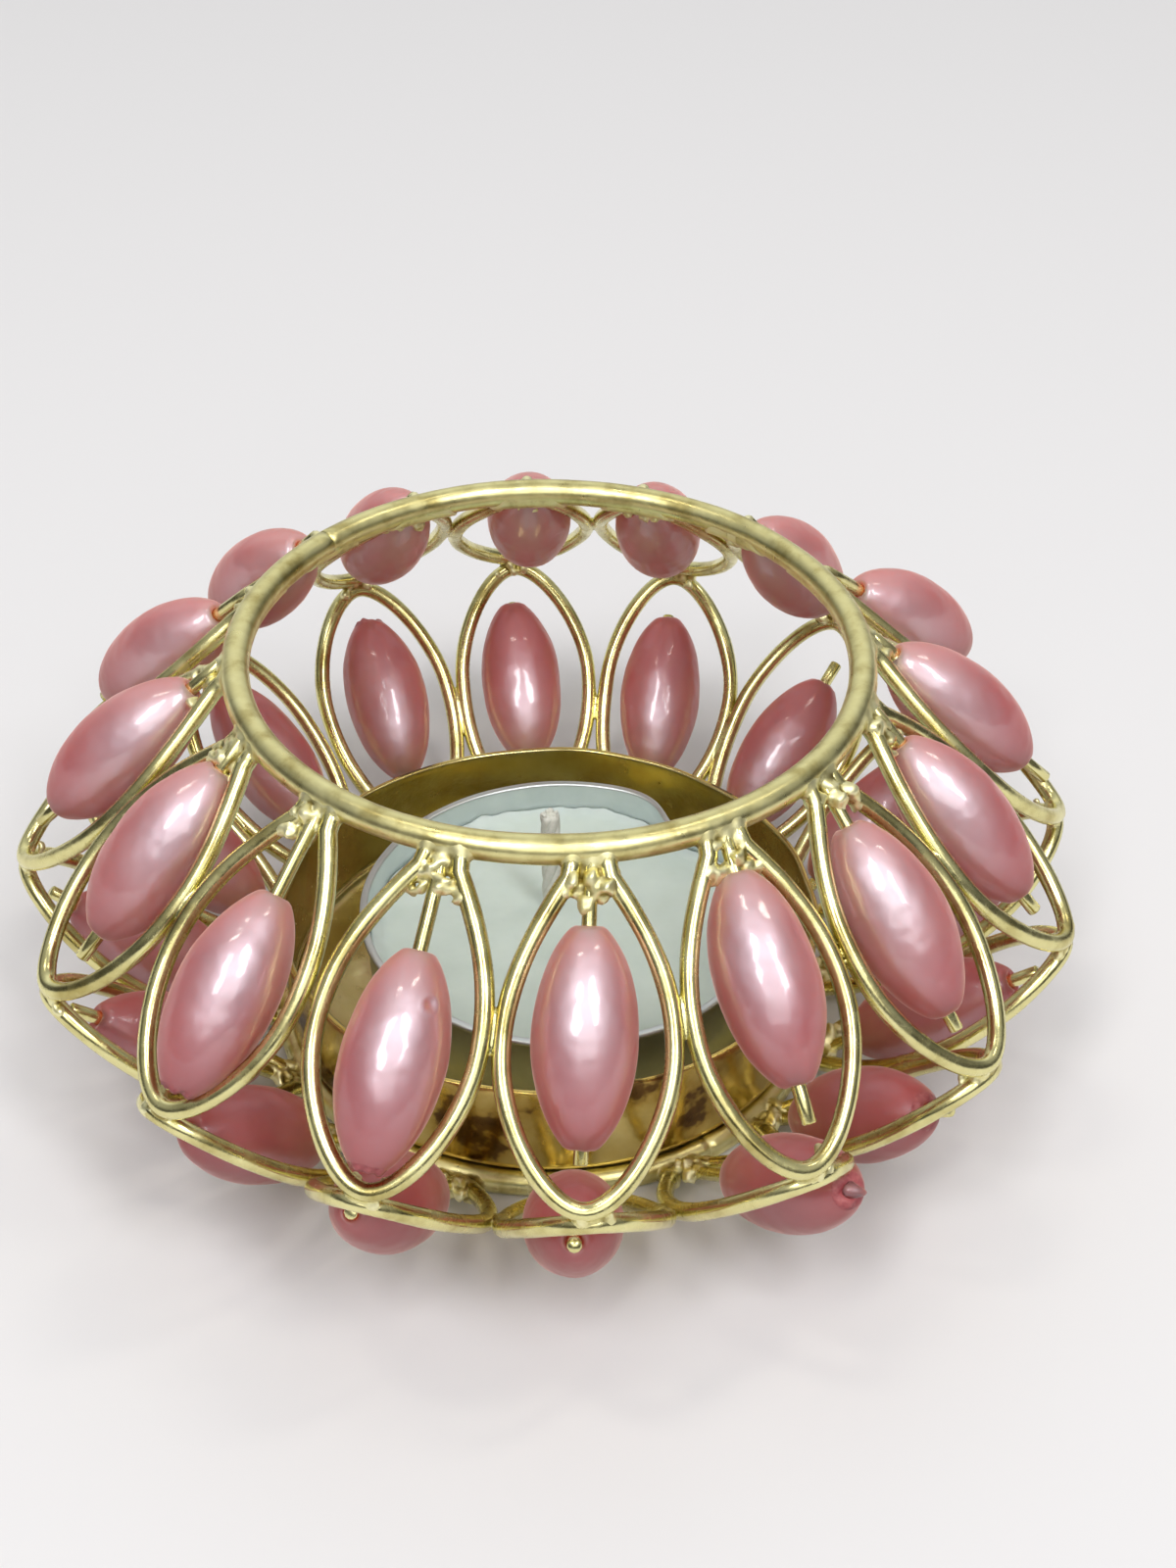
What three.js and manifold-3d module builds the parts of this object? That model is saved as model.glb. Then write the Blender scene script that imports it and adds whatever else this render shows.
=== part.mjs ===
import * as THREE from 'three';
import { mergeVertices } from 'three/addons/utils/BufferGeometryUtils.js';
import Module from 'manifold-3d';

// A lotus-shaped tealight holder: two rings of wire petals that meet at their tips, a bead on a pin
// inside each petal, and a shallow pan that carries a tealight.
// Sizes are in millimetres, Z points up and z = 0 is the table. Petal 01 points along -Y.

// Rings of thick wire
const RIM_WIRE = 2.45;
const RIM_RADIUS = 26.9;
const RIM_HEIGHT = 40.4;
const BASE_WIRE = 2.4;
const BASE_RADIUS = 24.5;

// Petals of thin wire
const PETAL_COUNT = 16;
const PETAL_WIRE = 1.55;
const TIP_RADIUS = 46.8;
const TIP_HEIGHT = 20.6;
const TIP_STACK = 0.85;
const LEG_START = 0.6;
const LEG_SPREAD = 1.6;
const LEG_SLOPE = 0.6;
const UPPER_WIDEST_AT = 0.55;
const LOWER_WIDEST_AT = 0.58;
const TOUCH_SHARE = 0.88;
const SHOULDER_REACH = 0.38;
const SHOULDER_HOLD = 0.35;
const TIP_REACH = 0.47;
const TIP_BLUNTNESS = 0.43;
const LOWER_BOW = 0.9;

// Brazed joints at the rings and at the petal tips
const JOINT_STANDOFF = 0.5;
const UPPER_JOINT_ANGLE = -36;
const LOWER_JOINT_ANGLE = 10;
const JOINT_LUMP = new THREE.Vector3(1.3, 2.9, 1.3);
const TIP_LUMP = new THREE.Vector3(0.95, 1.5, 1.5);

// Bead pins and beads
const PIN_DIAMETER = 1.2;
const PIN_TIP_GAP = 2.8;
const PIN_START = 0.5;
const UPPER_PIN_RISE = 46;
const BEAD_LENGTH = 17.1;
const BEAD_DIAMETER = 8.3;
const BEAD_END_DIAMETER = 2.5;
const BEAD_FULLNESS = 0.62;
const BEAD_STANDOFF = 2.2;
const BEAD_TIP_GAP = 0.8;

// Place of each bead between its ring (0) and its petal tip (1), from petal 01 round to petal 16
const UPPER_SLIDES = [0.42, 0.06, 0.25, 0.16, 0, 0.4, 0.04, 0.12, 0.06, 0.04, 0.04, 0.31, 0.1, 0.03, 0.97, 1];
const LOWER_SLIDES = [0.5, 0.9, 0.28, 0.32, 0.3, 0.35, 0.33, 0.64, 0.69, 0.76, 0.6, 0.35, 0.35, 0.32, 0.48, 0.72];

// Turn of each pin within its petal, in degrees, as hand brazing left it
const UPPER_TURNS = [-2.8, -0.2, -4.5, -2.9, -1.1, 3.7, -2, 2.5, -2.8, 0.1, -1.3, -3.7, 2, 2.6, 3, 0.6];
const LOWER_TURNS = [-3.6, 3.6, -4.4, -0.2, 0.5, -0.5, -1.1, 3.5, 0.1, -3.5, -2, 0.5, -0.1, -3.5, -2.8, -3.5];

// Lean of each pin out of its petal's plane, in degrees
const UPPER_LEANS = [-5, 2, 0.2, -1.1, 2.2, 5, -4, -5, -5, -3.2, -0.6, 0.9, 2.2, -1.3, 3.6, 2.1];
const LOWER_LEANS = [4.1, 5.7, 3.6, 3, 3, 3, 3, 3, 3, 3, 3, 3, 3, 3, 3, 3];

// Drip pan of thin sheet, its foot just past the middle of the base ring's wire
const PAN_OVERHANG = 0.1;
const PAN_FLARE = 0.3;
const PAN_DEPTH = 10;
const PAN_SHEET = 0.6;
const PAN_CORNER = 0.4;

// Tealight, standing a little off the middle of the pan
const CANDLE_X = 1.4;
const CANDLE_Y = -1.4;
const CUP_LIP_RADIUS = 18.9;
const CUP_LIP = 0.5;
const CUP_HEIGHT = 10.6;
const CUP_WALL = 0.4;
const CUP_TAPER = 0.5;
const CUP_CORNER = 0.6;
const WAX_DROP = 2.9;
const WICK_X = -1;
const WICK_Y = 3.3;
const WICK_DIAMETER = 1.9;
const WICK_RISE = 11.3;
const SUSTAINER_DIAMETER = 13;
const SUSTAINER_SHEET = 0.4;
const COLLAR_WALL = 0.45;
const COLLAR_HEIGHT = 2.6;

// Clearances between pieces
const BRAZE_GAP = 0.3;
const PETAL_GAP = 0.3;
const PIN_FIT = 0.3;
const WAX_FIT = 0.3;
const WICK_FIT = 0.25;

// Facets
const RING_SIDES = 8;
const RING_STEPS = 32;
const PETAL_SIDES = 5;
const PETAL_STEPS = 11;
const PIN_SIDES = 5;
const BEAD_SIDES = 8;
const BEAD_STEPS = 4;
const PAN_STEPS = 28;
const CUP_STEPS = 24;
const SMALL_STEPS = 9;
const WICK_SIDES = 8;

const wasm = await Module();
wasm.setup();

// Closed solid of a geometry, for joining and cutting
function solid(geometry) {
  const bare = geometry.clone();
  bare.deleteAttribute('normal');
  bare.deleteAttribute('uv');
  const merged = mergeVertices(bare, 1e-4);
  const vertProperties = new Float32Array(merged.attributes.position.array);
  const triVerts = new Uint32Array(merged.index.array);
  return new wasm.Manifold(new wasm.Mesh({ numProp: 3, vertProperties, triVerts }));
}

function geometryOf(body) {
  const mesh = body.getMesh();
  const geometry = new THREE.BufferGeometry();
  geometry.setAttribute('position', new THREE.BufferAttribute(mesh.vertProperties, 3));
  geometry.setIndex(new THREE.BufferAttribute(mesh.triVerts, 1));
  geometry.computeVertexNormals();
  return geometry;
}

// Body turned about the Z axis from a profile of [radius, height] points
function turned(profile, steps, start = 0) {
  const points = profile.map(([radius, height]) => new THREE.Vector2(radius, height));
  return new THREE.LatheGeometry(points, steps, start).rotateX(Math.PI / 2);
}

// Regular outline with its corners at the given distance from its middle
function cornered(corner, sides) {
  return Array.from({ length: sides }, (_, i) => {
    const angle = ((i - 0.5) / sides) * 2 * Math.PI;
    return new THREE.Vector2(corner * Math.cos(angle), corner * Math.sin(angle));
  });
}

// Regular outline whose flats stand at the given distance from its middle
function flatted(distance, sides) {
  return cornered(distance / Math.cos(Math.PI / sides), sides);
}

// Ring of wire, turned so that each petal's joint meets the middle of a facet
function wireRing(radius, height, wire) {
  const outline = flatted(wire / 2, RING_SIDES).map((p) => [radius + p.x, height + p.y]);
  return turned([...outline, outline[0]], RING_STEPS, Math.PI / RING_STEPS);
}

// Petals are shaped pointing along +X: x runs outwards, y across the petal
const HALF_SECTOR = Math.PI / PETAL_COUNT;
const BASE_HEIGHT = BASE_WIRE / 2;

function jointOn(radius, height, wire, degrees) {
  const angle = THREE.MathUtils.degToRad(degrees);
  const reach = wire / 2 + JOINT_STANDOFF;
  return new THREE.Vector3(radius + reach * Math.cos(angle), 0, height + reach * Math.sin(angle));
}

function petalPlan(joint, tipHeight, widestAt, outward, bow) {
  const run = new THREE.Vector3(TIP_RADIUS, 0, tipHeight).sub(joint);
  const length = run.length();
  const along = run.clone().normalize();
  const normal = new THREE.Vector3(-along.z, 0, along.x).multiplyScalar(outward);
  const touchRadius = joint.x + along.x * length * widestAt * TOUCH_SHARE + normal.x * bow;
  const touchRoom = touchRadius * Math.sin(HALF_SECTOR) - PETAL_WIRE / 2 - PETAL_GAP / 2;
  const halfWidth = touchRoom / Math.cos(HALF_SECTOR);
  return { joint, length, along, normal, halfWidth, bow, widest: length * widestAt };
}

const upperPlan = petalPlan(
  jointOn(RIM_RADIUS, RIM_HEIGHT, RIM_WIRE, UPPER_JOINT_ANGLE),
  TIP_HEIGHT + (PETAL_WIRE * TIP_STACK) / 2,
  UPPER_WIDEST_AT,
  1,
  0,
);
const lowerPlan = petalPlan(
  jointOn(BASE_RADIUS, BASE_HEIGHT, BASE_WIRE, LOWER_JOINT_ANGLE),
  TIP_HEIGHT - (PETAL_WIRE * TIP_STACK) / 2,
  LOWER_WIDEST_AT,
  -1,
  LOWER_BOW,
);

// Path that gives each of its arcs the same number of steps
class ArcPath extends THREE.CurvePath {
  getPoint(share) {
    const place = share * this.curves.length;
    const arc = Math.min(Math.floor(place), this.curves.length - 1);
    return this.curves[arc].getPoint(place - arc);
  }

  getUtoTmapping(share) {
    return share;
  }
}

// Marquise loop: straight legs off the ring, a full shoulder and a blunt rounded tip, bowed outwards between them
function petalLoop({ joint, length, along, normal, halfWidth, bow, widest }) {
  const at = (run, across) => {
    const share = run / length;
    const point = joint.clone().addScaledVector(along, run);
    point.addScaledVector(normal, 4 * bow * share * (1 - share));
    point.y = across;
    return point;
  };
  const leg = SHOULDER_REACH * widest;
  const tip = TIP_REACH * (length - widest);
  const half = (side) => [
    at(LEG_START, side * LEG_SPREAD),
    at(leg, side * (LEG_SPREAD + LEG_SLOPE * leg)),
    at(widest * (1 - SHOULDER_HOLD), side * halfWidth),
    at(widest, side * halfWidth),
    at(widest + tip, side * halfWidth),
    at(length, side * halfWidth * TIP_BLUNTNESS),
    at(length, 0),
  ];
  const there = half(1);
  const back = half(-1).reverse();
  const path = new ArcPath();
  path.add(new THREE.CubicBezierCurve3(...there.slice(0, 4)));
  path.add(new THREE.CubicBezierCurve3(...there.slice(3)));
  path.add(new THREE.CubicBezierCurve3(...back.slice(0, 4)));
  path.add(new THREE.CubicBezierCurve3(...back.slice(3)));
  const outline = new THREE.Shape(cornered(PETAL_WIRE / 2, PETAL_SIDES));
  return new THREE.ExtrudeGeometry(outline, { steps: PETAL_STEPS, bevelEnabled: false, extrudePath: path });
}

// Direction of a bead pin: turned within the petal's plane, then leaned out of it.
// The pins of the back petals start higher up the rim wire than those at the front.
function pinDirection(plan, pose) {
  const lean = THREE.MathUtils.degToRad(pose.lean);
  const turn = THREE.MathUtils.degToRad(pose.turn);
  const inPlane = plan.along.clone().multiplyScalar(Math.cos(turn));
  inPlane.y = Math.sin(turn);
  return inPlane.multiplyScalar(Math.cos(lean)).addScaledVector(plan.normal, Math.sin(lean));
}

// Geometry made along +Y, laid along a direction and moved to a place
function laidAlong(geometry, direction, place) {
  const turn = new THREE.Quaternion().setFromUnitVectors(new THREE.Vector3(0, 1, 0), direction);
  return geometry.applyQuaternion(turn).translate(place.x, place.y, place.z);
}

function pinOf(plan, pose) {
  const direction = pinDirection(plan, pose);
  const end = plan.length - PETAL_WIRE / 2 - PIN_TIP_GAP;
  const middle = pose.start.clone().addScaledVector(direction, (PIN_START + end) / 2);
  const rod = new THREE.CylinderGeometry(PIN_DIAMETER / 2, PIN_DIAMETER / 2, end - PIN_START, PIN_SIDES);
  return laidAlong(rod, direction, middle);
}

function lump(size, place) {
  return new THREE.IcosahedronGeometry(1, 0).scale(size.x, size.y, size.z).translate(place.x, place.y, place.z);
}

const rimClearance = solid(wireRing(RIM_RADIUS, RIM_HEIGHT, RIM_WIRE + 2 * BRAZE_GAP));
const baseClearance = solid(wireRing(BASE_RADIUS, BASE_HEIGHT, BASE_WIRE + 2 * BRAZE_GAP));

// Upper and lower petal of one sector, brazed tip to tip, each with its bead pin
function petalPair(upperPose, lowerPose) {
  const pieces = [
    petalLoop(upperPlan),
    petalLoop(lowerPlan),
    pinOf(upperPlan, upperPose),
    pinOf(lowerPlan, lowerPose),
    lump(JOINT_LUMP, upperPlan.joint),
    lump(JOINT_LUMP, lowerPlan.joint),
    lump(TIP_LUMP, new THREE.Vector3(TIP_RADIUS, 0, TIP_HEIGHT)),
  ];
  const joined = wasm.Manifold.union(pieces.map(solid));
  return geometryOf(joined.subtract(rimClearance).subtract(baseClearance));
}

// Long oval bead with flat drilled ends and a through bore
function beadOf(plan, pose, slide) {
  const half = BEAD_LENGTH / 2;
  const bore = PIN_DIAMETER / 2 + PIN_FIT;
  const endShare = (BEAD_END_DIAMETER / BEAD_DIAMETER) ** (1 / BEAD_FULLNESS);
  const endPlace = Math.sqrt(1 - endShare);
  const outer = Array.from({ length: BEAD_STEPS + 1 }, (_, i) => {
    const angle = (i / BEAD_STEPS - 0.5) * 2 * Math.asin(endPlace);
    const place = Math.sin(angle);
    const radius = (BEAD_DIAMETER / 2) * (1 - place * place) ** BEAD_FULLNESS;
    return new THREE.Vector2(radius, (half * place) / endPlace);
  });
  const profile = [new THREE.Vector2(bore, -half), ...outer, new THREE.Vector2(bore, half)];
  const shape = new THREE.LatheGeometry([...profile, profile[0]], BEAD_SIDES);
  const direction = pinDirection(plan, pose);
  const nearest = BEAD_STANDOFF + half;
  const farthest = plan.length - PETAL_WIRE / 2 - BEAD_TIP_GAP - half;
  const run = nearest + (farthest - nearest) * slide;
  return laidAlong(shape, direction, pose.start.clone().addScaledVector(direction, run));
}

// Pan: flat floor, small corner and a nearly upright wall, of even sheet
const PAN_FLOOR = BASE_WIRE;
const panFoot = BASE_RADIUS + PAN_OVERHANG;
const panRim = panFoot + PAN_FLARE;
const panTop = PAN_FLOOR + PAN_DEPTH;
const panInside = PAN_FLOOR + PAN_SHEET;
const pan = turned(
  [
    [0, PAN_FLOOR],
    [panFoot - PAN_CORNER, PAN_FLOOR],
    [panFoot, PAN_FLOOR + PAN_CORNER],
    [panRim, panTop],
    [panRim - PAN_SHEET, panTop],
    [panFoot - PAN_SHEET, panInside + PAN_CORNER],
    [panFoot - PAN_SHEET - PAN_CORNER, panInside],
    [0, panInside],
  ],
  PAN_STEPS,
);

// Tealight cup: tapered foil wall under a turned-out lip
const bodyTop = CUP_LIP_RADIUS - CUP_LIP;
const bodyFoot = bodyTop - CUP_TAPER;
const lipFoot = CUP_HEIGHT - CUP_LIP;
const cupInside = CUP_WALL;
const cup = turned(
  [
    [0, 0],
    [bodyFoot - CUP_CORNER, 0],
    [bodyFoot, CUP_CORNER],
    [bodyTop, lipFoot],
    [CUP_LIP_RADIUS, lipFoot],
    [CUP_LIP_RADIUS, CUP_HEIGHT],
    [bodyTop - CUP_WALL, CUP_HEIGHT],
    [bodyFoot - CUP_WALL, cupInside + CUP_CORNER],
    [bodyFoot - CUP_WALL - CUP_CORNER, cupInside],
    [0, cupInside],
  ],
  CUP_STEPS,
);

// Sustainer: foil disc with a collar that holds the wick, lying on the cup's floor
const collarBore = WICK_DIAMETER / 2 + WICK_FIT;
const collarRadius = collarBore + COLLAR_WALL;
const discRadius = SUSTAINER_DIAMETER / 2;
const sustainer = turned(
  [
    [collarBore, cupInside],
    [discRadius, cupInside],
    [discRadius, cupInside + SUSTAINER_SHEET],
    [collarRadius, cupInside + SUSTAINER_SHEET],
    [collarRadius, cupInside + COLLAR_HEIGHT],
    [collarBore, cupInside + COLLAR_HEIGHT],
    [collarBore, cupInside],
  ],
  SMALL_STEPS,
).translate(WICK_X, WICK_Y, 0);

// Upright rod between two heights, about the wick's own axis
function wickRod(radius, bottom, top, sides) {
  const rod = new THREE.CylinderGeometry(radius, radius, top - bottom, sides).rotateX(Math.PI / 2);
  return rod.translate(WICK_X, WICK_Y, (bottom + top) / 2);
}

const waxTop = CUP_HEIGHT - WAX_DROP;
const wickTop = waxTop + WICK_RISE;
const wick = wickRod(WICK_DIAMETER / 2, cupInside, wickTop, WICK_SIDES);

// Wax: fills the cup, with room for the wick, its collar and the sustainer's disc
const wallLean = CUP_TAPER / (lipFoot - CUP_CORNER);
const waxFoot = bodyFoot - CUP_WALL - WAX_FIT;
const waxRim = waxFoot + wallLean * (waxTop - cupInside - CUP_CORNER);
const waxBlock = turned(
  [
    [0, cupInside],
    [waxFoot - CUP_CORNER, cupInside],
    [waxFoot, cupInside + CUP_CORNER],
    [waxRim, waxTop],
    [0, waxTop],
  ],
  CUP_STEPS,
);
const discRoom = wickRod(discRadius + WAX_FIT, 0, cupInside + SUSTAINER_SHEET + WAX_FIT, SMALL_STEPS);
const collarRoom = wickRod(collarRadius + WAX_FIT, 0, cupInside + COLLAR_HEIGHT + WAX_FIT, SMALL_STEPS);
const wickRoom = wickRod(WICK_DIAMETER / 2 + WAX_FIT, 0, CUP_HEIGHT, WICK_SIDES);
const wax = geometryOf(
  solid(waxBlock).subtract(solid(discRoom)).subtract(solid(collarRoom)).subtract(solid(wickRoom)),
);

// Finishes
const finishes = {
  goldWire: { color: 0xcfc391, roughness: 0.32, metalness: 1 },
  goldSheet: { color: 0x9c8640, roughness: 0.3, metalness: 1 },
  pearl: { color: 0xc48a8c, roughness: 0.22, metalness: 0 },
  foil: { color: 0xd3d7d6, roughness: 0.3, metalness: 1 },
  wax: { color: 0xdbe4dc, roughness: 0.45, metalness: 0 },
  wick: { color: 0xb9b2a4, roughness: 0.95, metalness: 0 },
};

const holder = new THREE.Group();
holder.name = 'lotus_tealight_holder';

function addPiece(name, geometry, finish) {
  const mesh = new THREE.Mesh(geometry, new THREE.MeshStandardMaterial(finishes[finish]));
  mesh.name = name;
  holder.add(mesh);
}

addPiece('rim_ring', wireRing(RIM_RADIUS, RIM_HEIGHT, RIM_WIRE), 'goldWire');
addPiece('base_ring', wireRing(BASE_RADIUS, BASE_HEIGHT, BASE_WIRE), 'goldWire');
addPiece('drip_pan', pan, 'goldSheet');

for (let i = 0; i < PETAL_COUNT; i += 1) {
  const number = String(i + 1).padStart(2, '0');
  const sector = (i / PETAL_COUNT) * 2 * Math.PI;
  const facing = sector - Math.PI / 2;
  const backness = (1 - Math.cos(sector)) / 2;
  const place = i % UPPER_SLIDES.length;
  const pinAngle = UPPER_JOINT_ANGLE + UPPER_PIN_RISE * backness;
  const upperStart = jointOn(RIM_RADIUS, RIM_HEIGHT, RIM_WIRE, pinAngle);
  const upperPose = { start: upperStart, lean: UPPER_LEANS[place], turn: UPPER_TURNS[place] };
  const lowerPose = { start: lowerPlan.joint, lean: LOWER_LEANS[place], turn: LOWER_TURNS[place] };
  const upperBead = beadOf(upperPlan, upperPose, UPPER_SLIDES[place]);
  const lowerBead = beadOf(lowerPlan, lowerPose, LOWER_SLIDES[place]);
  addPiece(`petal_pair_${number}`, petalPair(upperPose, lowerPose).rotateZ(facing), 'goldWire');
  addPiece(`upper_bead_${number}`, upperBead.rotateZ(facing), 'pearl');
  addPiece(`lower_bead_${number}`, lowerBead.rotateZ(facing), 'pearl');
}

const tealight = { tealight_cup: [cup, 'foil'], tealight_wax: [wax, 'wax'] };
tealight.tealight_wick = [wick, 'wick'];
tealight.wick_sustainer = [sustainer, 'foil'];
for (const [name, [geometry, finish]] of Object.entries(tealight)) {
  addPiece(name, geometry.translate(CANDLE_X, CANDLE_Y, panInside), finish);
}

export default holder;
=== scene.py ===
import math

import bpy
import numpy as np
from mathutils import Matrix, Vector


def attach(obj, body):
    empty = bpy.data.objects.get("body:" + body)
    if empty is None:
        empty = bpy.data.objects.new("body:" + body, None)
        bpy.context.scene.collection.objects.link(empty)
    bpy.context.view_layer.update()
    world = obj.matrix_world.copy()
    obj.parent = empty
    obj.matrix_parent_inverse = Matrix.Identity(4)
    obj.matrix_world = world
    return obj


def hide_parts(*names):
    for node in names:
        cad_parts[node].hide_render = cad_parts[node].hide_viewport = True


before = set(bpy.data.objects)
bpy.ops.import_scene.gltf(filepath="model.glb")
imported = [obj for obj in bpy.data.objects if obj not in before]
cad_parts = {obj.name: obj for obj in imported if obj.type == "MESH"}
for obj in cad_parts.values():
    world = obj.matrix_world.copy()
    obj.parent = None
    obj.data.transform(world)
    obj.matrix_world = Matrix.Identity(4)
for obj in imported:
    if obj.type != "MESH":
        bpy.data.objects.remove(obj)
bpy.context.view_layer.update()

# Sizes in millimetres, z = 0 on the table, petal 01 along -Y
RIM_WIRE, RIM_RADIUS, RIM_HEIGHT = 2.45, 26.9, 40.4
BASE_WIRE, BASE_RADIUS, BASE_HEIGHT = 2.4, 24.5, 1.2
PETALS = 16
SECTOR = 2 * math.pi / PETALS
PETAL_WIRE = 1.55
UPPER_JOINT, UPPER_TIP, UPPER_WIDEST = (28.30, 39.39), (46.8, 21.26), 0.55
LOWER_JOINT, LOWER_TIP, LOWER_WIDEST = (26.17, 1.50), (46.8, 19.94), 0.58
TOUCH_SHARE, TOUCH_OVERLAP = 0.88, 0.02
PIN_RADIUS = 0.6
PIN_TIP_GAP = 2.8
BEAD_LENGTH, BEAD_RADIUS, BEAD_FULLNESS = 17.1, 4.15, 0.62
BEAD_END_RADIUS, BEAD_BORE = 1.2, 0.65
BEAD_STANDOFF, BEAD_TIP_GAP = 2.2, 0.8
BEAD_END_ZONE, BEAD_CHAMFER, CHAMFER_DEPTH, BORE_DEPTH = 0.5, 0.14, 0.16, 1.2
# Painted shade along a bead, deepening the pearl's colour and thinning its lustre: where it starts at the
# inner end of a lower bead; an upper bead starts at 0, and both end at 1
LOWER_SHADE = 0.4
# Fineness of the meshes
RING_SIDES, RING_STEPS, PETAL_SIDES, PIN_SIDES = 18, 241, 12, 10
BEAD_RINGS, BEAD_SIDES, PAN_SIDES, CUP_SIDES = 44, 40, 144, 192
LOWER_BOW = 0.9
RIM_BACK_RISE = 0.35
# Unevenness by hand: off true, and the swell of a wire's or a bead's thickness as a share
RING_WAVER, PETAL_WAVER, PAN_DENTS, FOIL_WAVER, WAX_WAVER = 0.05, 0.1, 0.13, 0.06, 0.05
RING_SWELL, PETAL_SWELL, BEAD_SWELL, BEAD_RIPPLE = 0.012, 0.02, 0.012, 0.004
# Seeds of the random draws
PETAL_SEED, LOOP_SEED, TIP_SEED, TOUCH_SEED = 100, 1000, 3000, 4000
UPPER_BEAD_SEED, LOWER_BEAD_SEED = 500, 600
RIM_SEED, BASE_SEED, PAN_SEED, CUP_SEED, WAX_SEED, WICK_SEED = 3, 5, 71, 81, 91, 7
# Outline of half a petal: the leg at the ring, then shares of the lengths before and after the widest place
LEG_ROOTS = [(-0.9, 1.35), (-0.2, 1.45)]
LEG_START, LEG_SPREAD, LEG_SLOPE = 0.6, 1.6, 0.6
LEG_REACH, SHOULDER_PLACE, TIP_REACH, TIP_BLUNTNESS = 0.38, 0.65, 0.47, 0.43
# Where upper pins sit on the rim wire, in degrees, and how far that climbs towards the back
PIN_ANGLE, PIN_RISE, PIN_STANDOFF = -36, 46, 0.5
# Each pin from petal 01 round: bead's place on it (0 ring, 1 tip), turn and lean in degrees, foot's shift
UPPER_PINS = [
    (0.42, -4.8, -5.0, 1.0), (0.06, -3.8, 2.0, 1.1), (0.27, -5.0, -0.6, 1.0), (0.20, -4.0, -1.6, 0.9),
    (0.02, -2.6, 2.2, 0.8), (0.45, 2.8, 5.0, 0.5), (0.02, -2.0, -4.0, 0.0), (0.12, 2.6, -5.0, 0.0),
    (0.03, -3.6, -5.0, 0.0), (0.02, 0.1, -3.2, 0.0), (0.02, -1.3, -0.6, 0.0), (0.36, -3.0, 0.9, -0.5),
    (0.14, 2.6, 2.0, -0.5), (0.04, 2.8, -1.4, -0.2), (0.96, 4.0, 3.8, 0.1), (1.00, 0.2, 2.4, 0.5)]
LOWER_PINS = [
    (0.50, -3.6, 4.6, 0.0), (0.90, 7.2, 5.2, 0.0), (0.30, -4.4, 3.8, 0.0), (0.32, -0.2, 3.0, 0.0),
    (0.30, 0.5, 3.0, 0.0), (0.35, -0.5, 3.0, 0.0), (0.33, -1.1, 3.0, 0.0), (0.64, 8.0, 3.0, -2.0),
    (0.69, 3.1, 3.0, -0.8), (0.76, -6.4, 3.0, 1.2), (0.60, -2.0, 3.0, 0.0), (0.35, 0.5, 3.0, 0.0),
    (0.35, -0.1, 3.0, 0.0), (0.32, -3.5, 3.0, 0.0), (0.48, -2.8, 3.0, 0.0), (0.72, -3.5, 3.2, 0.0)]
# Beads with a rough, torn outer end, and how rough a torn and a sound end are
TORN_ENDS = {("upper", 14), ("upper", 15), ("lower", 1), ("lower", 2), ("lower", 9)}
TORN_ROUGHNESS, SOUND_ROUGHNESS = 0.2, 0.05
# A nub of pulled plastic on one bead's end, as a path from the bead's middle and the radii along it
NUBS = {("lower", 1): ((0.0, 0.0, 7.4), (-0.05, -0.1, 8.3), (-0.35, -0.6, 8.7), (-0.5, -0.95, 8.9))}
NUB_RADII = (0.8, 0.78, 0.45, 0.26)
# A small pit in one bead: height along the bead, turn in degrees, distance from the axis, size, depth
PITS = {("upper", 15): (-4.6, 312, 3.47, 0.5, 0.2)}
# The raised lip round a pit: a share of its depth, then place and width in pit sizes
PIT_LIP, PIT_LIP_PLACE, PIT_LIP_WIDTH = 0.3, 1.5, 0.3
# Sideways set of the petals at their joint, middle and tip
UPPER_SWAYS = {
    0: (0.9, 0, -0.8), 1: (0.9, 0, -1.2), 2: (0.8, 0, 0), 3: (0.7, 0, 0), 4: (0.5, 0, 0), 5: (0.3, 0, 0.6),
    6: (0, 0, 1.0), 7: (0, 0, 1.0), 9: (0, 0, -1.2), 10: (0, 0, -0.6), 15: (0.5, 0, 0.5)}
LOWER_SWAYS = {
    0: (0, 0, -0.4), 1: (0, 0, -0.8), 5: (0, 0, 0.6), 6: (0, -0.3, 1.0), 7: (-0.5, -0.7, 1.1),
    8: (0, -0.5, 0), 9: (0, -0.4, -1.2), 10: (0, 0, -0.6), 14: (0, 0, -0.8), 15: (0, 0, -0.2)}
NO_SWAY = (0, 0, 0)
# Brazing: grid step, depth under a bare wire, height over the table, melt and lumps of its drops
BRAZE_STEP = 0.2
BRAZE_SINK, BRAZE_LIFT, DROP_BLEND, LUMP_SIZE = 0.05, 0.03, 0.3, 0.9
# Its reach at a ring, a tip and a touch, and the number of its drops
JOINT_REACH, TIP_LUMP_REACH, TOUCH_REACH = (3.6, 4.2, 3.6), (2.6, 3.4, 2.2), (3.0, 3.0, 3.0)
JOINT_DROPS, TIP_DROPS = 15, 9
# Its fillets and grain, how far it looks for wire, and the path points of a leg and of a pin's foot
JOINT_FILLET, TIP_FILLET, TOUCH_FILLET, JOINT_GRAIN, TIP_GRAIN = 0.6, 0.6, 0.55, 0.12, 0.1
JOINT_LOOK, TIP_LOOK, TOUCH_LOOK, LEG_POINTS, FOOT_POINTS = 7, 6, 5, 30, 5
PAN_FLOOR, PAN_FOOT, PAN_RIM, PAN_DEPTH, PAN_SHEET = 2.4, 24.6, 24.9, 10.0, 0.6
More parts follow.
